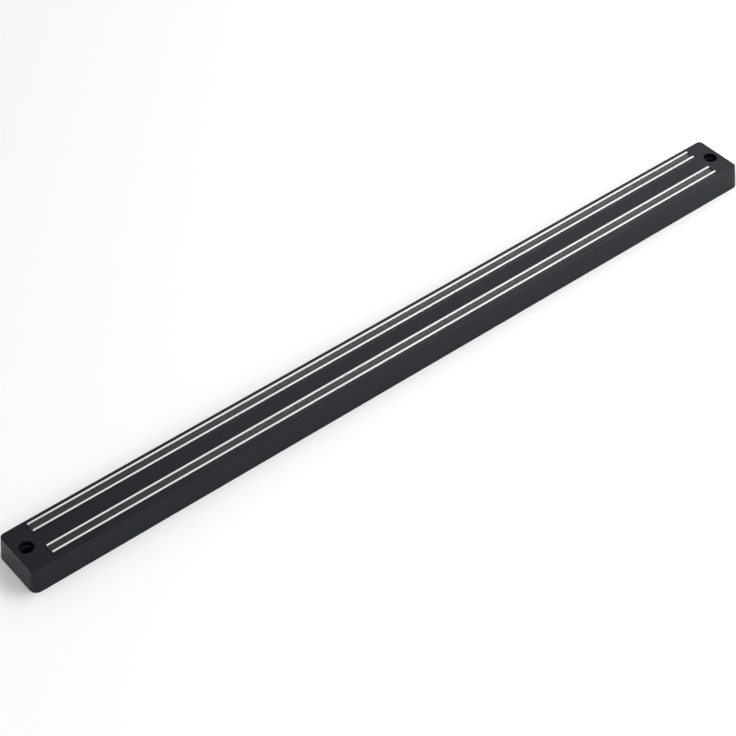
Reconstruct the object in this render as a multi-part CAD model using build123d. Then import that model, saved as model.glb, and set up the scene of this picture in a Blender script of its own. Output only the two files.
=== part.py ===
from build123d import *
import os
from math import radians, tan

# Wall-mounted magnetic knife rack with two magnet tracks, sizes in millimetres.
# A moulded plastic housing, open at the back, holds two magnet packs. Each pack is a row of ferrite
# blocks between two steel pole strips, which stand on edge and reach through a slot in the face.
# A back cover closes the housing and presses both packs forward. Self-tapping screws hold it.
# Origin: centre of the back, which lies on the wall. +X runs along the rack, +Y across it, and +Z
# points out of the wall, through the face that the knives hang on.

# ---- housing ----
length = 610.0  # at the back
base_width = 42.5  # at the back
body_height = 18.0  # back to face
draft_angle = 7.0  # lean of all four sides, in degrees
corner_radius = 5.5  # of the upright corners, at the back
face_edge_radius = 0.6
side_wall = 2.2
face_thickness = 2.5
pack_margin = 10.25  # long side, at the back, to the middle of the nearer pack
strip_end_margin = 20.0  # end, at the back, to the end of the strips in the face
screw_hole_margin = 10.5  # end, at the back, to the middle of the wall screw hole

# ---- magnet packs ----
strip_thickness = 1.5
strip_depth = 14.0  # out of the wall
strip_stand = 1.7  # how far the strips stand proud of the face
strip_edge_radius = 0.15
strip_corner_radius = 0.5
shoulder_length = 4.0  # each end of a strip hooks this far under the face
shoulder_gap = 0.1  # between that hook and the face
magnet_thickness = 5.0
magnet_sink = 0.3  # below the face
magnet_gap = 0.05  # between neighbours in a row
magnet_edge = 0.12
magnets_per_pack = 12
pack_clearance = 0.1  # on each side of a pack
slot_end_clearance = 0.3

# ---- wall screw holes ----
# From the face: a recess for a cap, a ledge that the cap sits on, a bore that the screw head goes
# down, and a countersunk seat close to the wall, so that a short screw holds the rack.
cap_recess_diameter = 10.0
cap_recess_depth = 4.0
cap_ledge = 0.8
bore_bevel = 0.3  # breaks the ledge's inner edge
seat_height = 5.0  # wall to the top of the countersink
countersink_angle = 90.0
shank_hole_diameter = 5.0
cap_recess_wall = 1.8
cap_recess_floor = 2.0
screw_tube_wall = 1.8

# ---- back cover ----
cover_thickness = 2.0
cover_sink = 0.4  # below the housing's rim
cover_clearance = 0.15
rim_width = 1.3
presser_thickness = 1.6

# ---- cover screws, self-tapping, countersunk ----
cover_screw_count = 6
cover_screw_margin = 42.0  # end, at the back, to the first and last screw
cover_screw_diameter = 2.9  # over the thread
cover_screw_length = 9.5
thread_depth = 0.4
thread_pitch = 1.1
thread_bite = 0.25  # how deep the thread has cut into the boss
head_overhang = 1.25
drive_width = 0.9
drive_length = 3.0
drive_depth = 1.1
cover_hole_clearance = 0.2
cover_boss_wall = 2.0
pilot_extra_depth = 1.5

# ---- stiffening ribs in the housing ----
channel_wall = 1.4
rib_thickness = 1.4
rib_cover_gap = 1.0
ribs_per_screw_gap = 2

# ---- worked out ----
draft_tan = tan(radians(draft_angle))
face_underside = body_height - face_thickness
strip_top = body_height + strip_stand
strip_bottom = strip_top - strip_depth
strip_length = length - 2 * strip_end_margin
strip_offset = (magnet_thickness + strip_thickness) / 2  # strip's middle from its pack's middle
slot_width = magnet_thickness + 2 * strip_thickness + 2 * pack_clearance
slot_length = strip_length + 2 * slot_end_clearance
channel_length = slot_length + 2 * shoulder_length
magnet_top = body_height - magnet_sink
magnet_pitch = strip_length / magnets_per_pack
pack_y = base_width / 2 - pack_margin
pack_middles = {"upper": pack_y, "lower": -pack_y}
screw_hole_x = length / 2 - screw_hole_margin
ledge_height = body_height - cap_recess_depth
head_bore_diameter = cap_recess_diameter - 2 * cap_ledge
countersink_depth = (head_bore_diameter - shank_hole_diameter) / 2 / tan(radians(countersink_angle / 2))
shank_hole_top = seat_height - countersink_depth
recess_cup_diameter = cap_recess_diameter + 2 * cap_recess_wall
screw_tube_diameter = head_bore_diameter + 2 * screw_tube_wall
cover_top = cover_sink + cover_thickness
cover_screw_run = length - 2 * cover_screw_margin
cover_screw_step = cover_screw_run / (cover_screw_count - 1)
cover_screw_xs = [-cover_screw_run / 2 + cover_screw_step * i for i in range(cover_screw_count)]
cover_screw_head = cover_screw_diameter + 2 * head_overhang
thread_core = cover_screw_diameter - 2 * thread_depth
pilot_diameter = cover_screw_diameter - 2 * thread_bite
head_top = cover_sink + head_overhang  # the head's cone is 90 degrees


standing = (Align.CENTER, Align.CENTER, Align.MIN)


def block(x_size, y_size, z_low, z_high, x=0.0, y=0.0):
    """Upright box centred on x, y, between two heights."""
    return Pos(x, y, z_low) * Box(x_size, y_size, z_high - z_low, align=standing)


def rod(diameter, z_low, z_high, x=0.0):
    """Upright cylinder on the rack's long middle line, between two heights."""
    return Pos(x, 0, z_low) * Cylinder(diameter / 2, z_high - z_low, align=standing)


def cone(low_diameter, high_diameter, z_low, z_high, x=0.0):
    """Upright cone frustum on the rack's long middle line, between two heights."""
    return Pos(x, 0, z_low) * Cone(low_diameter / 2, high_diameter / 2, z_high - z_low, align=standing)


def drafted_block(inset, z_low, z_high):
    """The housing's outline at the back, moved in by inset and narrowing with height by the draft."""
    at_low = inset + z_low * draft_tan
    outline = RectangleRounded(length - 2 * at_low, base_width - 2 * at_low, corner_radius - at_low)
    return extrude(Pos(0, 0, z_low) * outline, z_high - z_low, taper=draft_angle)


def pocket_outline(inset):
    """Flat outline of the pocket in the back that the cover lies in, moved in by inset."""
    margin = rim_width + inset
    return RectangleRounded(length - 2 * margin, base_width - 2 * margin, corner_radius - margin)


def make_housing():
    outer = drafted_block(0.0, 0.0, body_height)
    outer = fillet(outer.edges().group_by(Axis.Z)[-1], face_edge_radius)
    housing = outer - drafted_block(side_wall, 0.0, face_underside)

    # channel walls round each pack, cross ribs and screw bosses, kept inside the outer shape
    inside = Part()
    for y in pack_middles.values():
        wall_length = channel_length + 2 * channel_wall
        inside += block(wall_length, slot_width + 2 * channel_wall, cover_top, body_height, y=y)
    rib_step = cover_screw_step / ribs_per_screw_gap
    for i in range((cover_screw_count - 1) * ribs_per_screw_gap + 1):
        x = -cover_screw_run / 2 + rib_step * i
        inside += block(rib_thickness, base_width, cover_top + rib_cover_gap, body_height, x=x)
    for x in cover_screw_xs:
        inside += rod(pilot_diameter + 2 * cover_boss_wall, cover_top, body_height, x)
    for x in (-screw_hole_x, screw_hole_x):
        inside += rod(recess_cup_diameter, ledge_height - cap_recess_floor, body_height, x)
        inside += rod(screw_tube_diameter, 0.0, body_height, x)
    housing += inside & outer

    # channel and face slot for each pack
    for y in pack_middles.values():
        housing -= block(channel_length, slot_width, 0.0, face_underside, y=y)
        housing -= block(slot_length, slot_width, 0.0, strip_top, y=y)
    # pocket for the back cover, which leaves the wall screw tubes standing
    pocket = extrude(pocket_outline(0.0), cover_top)
    for x in (-screw_hole_x, screw_hole_x):
        pocket -= rod(screw_tube_diameter, 0.0, cover_top, x)
    housing -= pocket
    # wall screw holes
    for x in (-screw_hole_x, screw_hole_x):
        housing -= rod(cap_recess_diameter, ledge_height, strip_top, x)
        housing -= rod(head_bore_diameter, seat_height, ledge_height, x)
        bevel_rim = head_bore_diameter + 2 * bore_bevel
        housing -= cone(head_bore_diameter, bevel_rim, ledge_height - bore_bevel, ledge_height, x)
        housing -= cone(shank_hole_diameter, head_bore_diameter, shank_hole_top, seat_height, x)
        housing -= rod(shank_hole_diameter, 0.0, seat_height, x)
    # pilot holes, with the grooves that the cover screws have cut
    for x in cover_screw_xs:
        housing -= rod(pilot_diameter, 0.0, cover_sink + cover_screw_length + pilot_extra_depth, x)
        housing -= make_cover_screw(x)
    return housing


def make_strip(y):
    """Steel pole strip on edge, shorter where it comes through the face than behind it."""
    shoulder_top = face_underside - shoulder_gap
    strip = block(strip_length + 2 * shoulder_length, strip_thickness, strip_bottom, shoulder_top, y=y)
    strip += block(strip_length, strip_thickness, strip_bottom, strip_top, y=y)
    strip = fillet(strip.edges().filter_by(Axis.Y).group_by(Axis.Z)[-1], strip_corner_radius)
    return fillet(strip.edges().filter_by(Axis.X).group_by(Axis.Z)[-1], strip_edge_radius)


def make_magnet(index, y):
    """One ferrite block of a row, counted from the -X end."""
    x = -strip_length / 2 + magnet_pitch * (index + 0.5)
    magnet = block(magnet_pitch - magnet_gap, magnet_thickness, strip_bottom, magnet_top, x=x, y=y)
    return chamfer(magnet.edges(), magnet_edge)


def make_back_cover():
    cover = Pos(0, 0, cover_sink) * extrude(pocket_outline(cover_clearance), cover_thickness)
    # two presser ribs behind each pack, each across the seam between a strip and the magnets
    for y in pack_middles.values():
        for side in (-1, 1):
            seam_y = y + side * magnet_thickness / 2
            cover += block(strip_length, presser_thickness, cover_top, strip_bottom, y=seam_y)
    for x in (-screw_hole_x, screw_hole_x):
        cover -= rod(screw_tube_diameter + 2 * cover_clearance, 0.0, cover_top, x)
    for x in cover_screw_xs:
        cover -= rod(cover_screw_diameter + 2 * cover_hole_clearance, 0.0, cover_top, x)
        cover -= cone(cover_screw_head, cover_screw_diameter, cover_sink, head_top, x)
    return cover


def make_cover_screw(x):
    """Countersunk self-tapping screw, head at the back. Its thread is a row of separate ridges."""
    tip = cover_sink + cover_screw_length
    point = tip - thread_core
    screw = cone(cover_screw_head, cover_screw_diameter, cover_sink, head_top)
    screw += rod(thread_core, cover_sink, point)
    screw += cone(thread_core, thread_core / 4, point, tip)
    half_ridge = thread_pitch / 4
    for i in range(int((point - head_top) / thread_pitch)):
        low = head_top + thread_pitch * i
        screw += cone(thread_core, cover_screw_diameter, low, low + half_ridge)
        screw += cone(cover_screw_diameter, thread_core, low + half_ridge, low + 2 * half_ridge)
    # cross recess
    screw -= block(drive_length, drive_width, 0.0, cover_sink + drive_depth)
    screw -= block(drive_width, drive_length, 0.0, cover_sink + drive_depth)
    return Pos(x, 0, 0) * screw


os.makedirs("parts", exist_ok=True)
export_step(make_housing(), "parts/housing.step")
for row, middle_y in pack_middles.items():
    export_step(make_strip(middle_y + strip_offset), f"parts/{row}_pole_strip_top.step")
    export_step(make_strip(middle_y - strip_offset), f"parts/{row}_pole_strip_bottom.step")
    for number in range(magnets_per_pack):
        export_step(make_magnet(number, middle_y), f"parts/{row}_magnet_{number + 1:02d}.step")
export_step(make_back_cover(), "parts/back_cover.step")
export_step(Compound([make_cover_screw(x) for x in cover_screw_xs]), "parts/cover_screws.step")
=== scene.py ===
from math import radians

import bpy
import bmesh
from mathutils import Matrix, Vector


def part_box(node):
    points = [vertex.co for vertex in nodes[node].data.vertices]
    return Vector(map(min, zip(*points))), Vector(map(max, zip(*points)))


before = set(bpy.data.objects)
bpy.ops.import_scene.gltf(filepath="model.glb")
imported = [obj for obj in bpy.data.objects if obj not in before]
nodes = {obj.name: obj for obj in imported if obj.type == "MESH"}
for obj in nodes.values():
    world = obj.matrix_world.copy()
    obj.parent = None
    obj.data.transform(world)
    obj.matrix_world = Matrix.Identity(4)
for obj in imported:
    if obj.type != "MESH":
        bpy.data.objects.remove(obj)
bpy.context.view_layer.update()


# ---- Housing ----
# One long injection moulding in black ABS, drafted on all sides to leave its steel mould. The mould was
# spark eroded, so the skin has a fine satin grain, with faint flow streaks along the bar. Knives have
# scuffed it crosswise and handling has rubbed the edge of its face smoother.

def new_material(name):
    """A material, its principled shader and its object coordinates."""
    material = bpy.data.materials.new(name)
    material.use_nodes = True
    shader = material.node_tree.nodes["Principled BSDF"]
    place = material.node_tree.nodes.new("ShaderNodeTexCoord").outputs["Object"]
    return material, shader, place


def add(material, kind, inputs, **settings):
    """Add a node, give it its settings, and set each input to a value or link it to a socket."""
    node = material.node_tree.nodes.new(kind)
    for name, value in settings.items():
        setattr(node, name, value)
    for name, value in inputs.items():
        if isinstance(value, bpy.types.NodeSocket):
            material.node_tree.links.new(value, node.inputs[name])
        else:
            node.inputs[name].default_value = value
    return node


def along(material, place, axis):
    """One coordinate of a place, in metres."""
    return add(material, "ShaderNodeSeparateXYZ", {"Vector": place}).outputs[axis]


def combine(material, operation, first, second):
    """Two numbers put together by a named operation, such as ADD."""
    return add(material, "ShaderNodeMath", {0: first, 1: second}, operation=operation).outputs[0]


def noise(material, place, grain_size, stretch=(1, 1, 1), detail=3.0):
    """Noise whose lumps are about grain_size across, in metres, drawn out along each axis by stretch."""
    scale = [1 / (grain_size * s) for s in stretch]
    spread = add(material, "ShaderNodeMapping", {"Vector": place, "Scale": scale})
    lumps = {"Vector": spread.outputs[0], "Scale": 1.0, "Detail": detail, "Roughness": 0.5}
    return add(material, "ShaderNodeTexNoise", lumps).outputs["Fac"]


def between(material, factor, low, high, from_low=0.3, from_high=0.7):
    """Spread a factor smoothly between two values. Noise keeps mostly between 0.3 and 0.7."""
    inputs = {"Value": factor, "From Min": from_low, "From Max": from_high, "To Min": low, "To Max": high}
    return add(material, "ShaderNodeMapRange", inputs, interpolation_type="SMOOTHSTEP").outputs["Result"]


def tint(material, factor, dark, light):
    """Mix two colours, each a value or a socket, by a factor."""
    colours = {"Factor": factor, "A": dark, "B": light}
    return add(material, "ShaderNodeMix", colours, data_type="RGBA").outputs["Result"]


def finish(material, shader, colour, roughness, height, depth):
    """Give the shader its colour, its roughness and a bump of the given depth, in metres."""
    bump = add(material, "ShaderNodeBump", {"Height": height, "Distance": depth, "Strength": 1.0})
    links = material.node_tree.links
    links.new(colour, shader.inputs["Base Color"])
    links.new(roughness, shader.inputs["Roughness"])
    links.new(bump.outputs["Normal"], shader.inputs["Normal"])


flow_streak_size = 0.004
flow_streak_stretch = (12, 1, 1)
spark_grain_size = 0.0004
spark_grain_depth = 0.000025
scuff_width = 0.00015
scuff_stretch = (1, 60, 4)
scuff_threshold = 0.64  # so that only the peaks of the noise are scuffs
scuff_full = 0.72
scuff_dulling = 0.08
face_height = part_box("housing")[1][2]
rubbed_depth = 0.0006  # below the face, where the rubbing starts
rubbed_fade = 0.00018
face_fade_start = 0.00004  # below the face, whose flat isn't rubbed
face_fade_end = 0.00001
rubbed_polish = 0.2
satin_roughness = (0.34, 0.42)
plastic_black = (0.0026, 0.0038, 0.0070, 1)
plastic_streak = (0.0040, 0.0054, 0.0092, 1)

housing_plastic, shader, place = new_material("moulded_black_plastic")
flow = noise(housing_plastic, place, flow_streak_size, flow_streak_stretch, detail=4.0)
grain = noise(housing_plastic, place, spark_grain_size, detail=2.0)
scuffs = noise(housing_plastic, place, scuff_width, scuff_stretch, detail=1.0)
scuffs = between(housing_plastic, scuffs, 0.0, scuff_dulling, scuff_threshold, scuff_full)
height = along(housing_plastic, place, "Z")
rubbed_low = face_height - rubbed_depth
rubbed = between(housing_plastic, height, 0.0, rubbed_polish, rubbed_low, rubbed_low + rubbed_fade)
face_low = face_height - face_fade_start
below_face = between(housing_plastic, height, 1.0, 0.0, face_low, face_height - face_fade_end)
rubbed = combine(housing_plastic, "MULTIPLY", rubbed, below_face)
satin = between(housing_plastic, flow, *satin_roughness)
satin = combine(housing_plastic, "ADD", satin, scuffs)
satin = combine(housing_plastic, "SUBTRACT", satin, rubbed)
colour = tint(housing_plastic, flow, plastic_black, plastic_streak)
finish(housing_plastic, shader, colour, satin, grain, spark_grain_depth)
shader.inputs["Specular IOR Level"].default_value = 0.23
nodes["housing"].data.materials[0] = housing_plastic


# ---- Ferrite magnets ----
# Twelve sintered ferrite blocks in each track, pressed, fired and ground flat on their long faces.
# Each block came out of the furnace a slightly different grey.

sinter_size = 0.0006
sinter_depth = 0.00001
grinding_width = 0.0003
grinding_stretch = (20, 1, 1)
block_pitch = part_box("upper_magnet_02")[0][0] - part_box("upper_magnet_01")[0][0]
row_cell = 0.03  # the rack's middle line parts the two rows
depth_cell = 1.0  # deeper than a block
block_share = 0.4  # of a block's own shade in its colour
sinter_share = 0.6
ground_roughness = (0.34, 0.46)
ferrite_dark = (0.008, 0.008, 0.010, 1)
ferrite_pale = (0.016, 0.016, 0.019, 1)

ferrite, shader, place = new_material("ground_ferrite")
sinter = noise(ferrite, place, sinter_size)
grinding = noise(ferrite, place, grinding_width, grinding_stretch, detail=2.0)
cell = {0: place, 1: (block_pitch, row_cell, depth_cell)}
block = add(ferrite, "ShaderNodeVectorMath", cell, operation="SNAP").outputs[0]
block_shade = add(ferrite, "ShaderNodeTexWhiteNoise", {"Vector": block}).outputs["Value"]
block_shade = combine(ferrite, "MULTIPLY", block_shade, block_share)
sinter_shade = combine(ferrite, "MULTIPLY", sinter, sinter_share)
shade = combine(ferrite, "ADD", block_shade, sinter_shade)
colour = tint(ferrite, shade, ferrite_dark, ferrite_pale)
ground = between(ferrite, grinding, *ground_roughness)
finish(ferrite, shader, colour, ground, sinter, sinter_depth)
shader.inputs["Specular IOR Level"].default_value = 0.5
for name, node in nodes.items():
    if "magnet" in name:
        node.data.materials[0] = ferrite


# ---- Pole strips ----
# Four mild steel strips on edge, sheared from sheet, nickel plated and brushed along their length, which
# leaves the edge that stands proud of the face bright. The sheared ends are dull.

brush_line_width = 0.00015
brush_line_stretch = (60, 1, 1)
brush_line_depth = 0.000002
strip_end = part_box("upper_magnet_12")[1][0]  # the strips end in line with the magnets
shear_fade_start = 0.0001  # in from the end of the strips
shear_fade_end = 0.00003
shear_dulling = 0.35
nickel_roughness = (0.12, 0.2)
nickel_dark = (0.67, 0.675, 0.68, 1)
nickel_bright = (0.74, 0.745, 0.75, 1)
sheared_steel = (0.16, 0.16, 0.165, 1)

plated_steel, shader, place = new_material("nickel_plated_steel")
brushing = noise(plated_steel, place, brush_line_width, brush_line_stretch, detail=2.0)
from_middle = combine(plated_steel, "ABSOLUTE", along(plated_steel, place, "X"), 0.0)
polished_end = strip_end - shear_fade_start
sheared = between(plated_steel, from_middle, 0.0, 1.0, polished_end, strip_end - shear_fade_end)
colour = tint(plated_steel, brushing, nickel_dark, nickel_bright)
colour = tint(plated_steel, sheared, colour, sheared_steel)
polish = between(plated_steel, brushing, *nickel_roughness)
dulling = combine(plated_steel, "MULTIPLY", sheared, shear_dulling)
polish = combine(plated_steel, "ADD", polish, dulling)
finish(plated_steel, shader, colour, polish, brushing, brush_line_depth)
shader.inputs["Metallic"].default_value = 1.0
for name, node in nodes.items():
    if "pole_strip" in name:
        node.data.materials[0] = plated_steel


# ---- Back cover ----
# A flat moulding that closes the housing from behind, in the same black plastic from a plainer mould.
# Its ribs press both rows of magnets towards the face.

cover_streak_size = 0.008
cover_streak_stretch = (6, 1, 1)
cover_grain_size = 0.0006
cover_grain_depth = 0.00003
cover_roughness = (0.40, 0.53)
cover_black = (0.007, 0.009, 0.012, 1)
cover_streak = (0.012, 0.014, 0.018, 1)

cover_plastic, shader, place = new_material("moulded_cover_plastic")
flow = noise(cover_plastic, place, cover_streak_size, cover_streak_stretch, detail=4.0)
grain = noise(cover_plastic, place, cover_grain_size, detail=2.0)
colour = tint(cover_plastic, flow, cover_black, cover_streak)
satin = between(cover_plastic, flow, *cover_roughness)
finish(cover_plastic, shader, colour, satin, grain, cover_grain_depth)
shader.inputs["Specular IOR Level"].default_value = 0.3
nodes["back_cover"].data.materials[0] = cover_plastic


# ---- Cover screws ----
# Six small countersunk self-tapping screws, in steel, that hold the back cover. They are zinc plated in
# a barrel, which leaves a pale coat with slightly cloudy patches.

zinc_patch_size = 0.0015
zinc_patch_depth = 0.000005
zinc_roughness = (0.25, 0.4)
zinc_dark = (0.50, 0.51, 0.52, 1)
zinc_pale = (0.64, 0.64, 0.62, 1)

zinc, shader, place = new_material("zinc_plated_steel")
patches = noise(zinc, place, zinc_patch_size)
colour = tint(zinc, patches, zinc_dark, zinc_pale)
polish = between(zinc, patches, *zinc_roughness)
finish(zinc, shader, colour, polish, patches, zinc_patch_depth)
shader.inputs["Metallic"].default_value = 1.0
nodes["cover_screws"].data.materials[0] = zinc


# ---- Floor ----
# A pale matte sheet that the rack lies on with its back down. It is a prop and isn't part of the rack,
# and it reaches far past the rack on every side.

floor_size = 8.0
tooth_size = 0.002
tooth_depth = 0.00002
sheet_roughness = (0.7, 0.8)
sheet_dark = (0.88, 0.88, 0.88, 1)
sheet_pale = (0.91, 0.91, 0.91, 1)

floor_mesh = bpy.data.meshes.new("floor")
sheet = bmesh.new()
bmesh.ops.create_grid(sheet, x_segments=1, y_segments=1, size=floor_size / 2)
sheet.to_mesh(floor_mesh)
sheet.free()
floor = bpy.data.objects.new("floor", floor_mesh)
bpy.context.collection.objects.link(floor)
pale_sheet, shader, place = new_material("pale_sheet")
tooth = noise(pale_sheet, place, tooth_size, detail=2.0)
colour = tint(pale_sheet, tooth, sheet_dark, sheet_pale)
matte = between(pale_sheet, tooth, *sheet_roughness)
finish(pale_sheet, shader, colour, matte, tooth, tooth_depth)
floor_mesh.materials.append(pale_sheet)


# ---- Light ----
# A bright tent all round, and five large square soft boxes that face the rack: three off its +X end, one
# on the camera's side and one overhead.

tent_strength = 0.36


def soft_box(name, place, size, power):
    """A square soft box at a place, turned to the rack's middle."""
    light = bpy.data.lights.new(name, "AREA")
    light.size = size
    light.energy = power
    lamp = bpy.data.objects.new(name, light)
    bpy.context.collection.objects.link(lamp)
    turn = Vector(place).to_track_quat("Z", "Y").to_matrix().to_4x4()
    lamp.matrix_world = Matrix.Translation(place) @ turn


world = bpy.data.worlds.new("tent")
bpy.context.scene.world = world
world.use_nodes = True
background = world.node_tree.nodes["Background"]
background.inputs["Color"].default_value = (1, 1, 1, 1)
background.inputs["Strength"].default_value = tent_strength
soft_box("far_box", place=(1.2, 1.1, 1.3), size=1.8, power=8.0)
soft_box("near_box", place=(0.98, -1.0, 1.06), size=1.1, power=13.5)
soft_box("end_box", place=(1.6, 0.0, 1.8), size=1.4, power=21.5)
soft_box("fill_box", place=(-1.0, -1.1, 1.5), size=1.3, power=12.0)
soft_box("top_box", place=(-0.3, -0.2, 2.2), size=1.6, power=4.0)


# ---- Camera ----
# Above the rack on its -Y side and off its -X end, looking down along it through a long lens. It is
# turned a little about its own axis.

camera_azimuth = radians(-38.03)
camera_elevation = radians(44.5)
camera_roll = radians(-1.14)
camera_distance = 1.390
camera_aim = (-0.0216, 0.0085, -0.0067)

camera = bpy.data.cameras.new("camera")
camera.sensor_width = 36.0
camera.lens = 100.4
eye = bpy.data.objects.new("camera", camera)
bpy.context.collection.objects.link(eye)
turn = Matrix.Rotation(camera_azimuth, 4, "Z") @ Matrix.Rotation(radians(90) - camera_elevation, 4, "X")
turn = turn @ Matrix.Rotation(camera_roll, 4, "Z")
eye.matrix_world = Matrix.Translation(camera_aim) @ turn @ Matrix.Translation((0, 0, camera_distance))
bpy.context.scene.camera = eye
bpy.context.scene.view_settings.view_transform = "Standard"
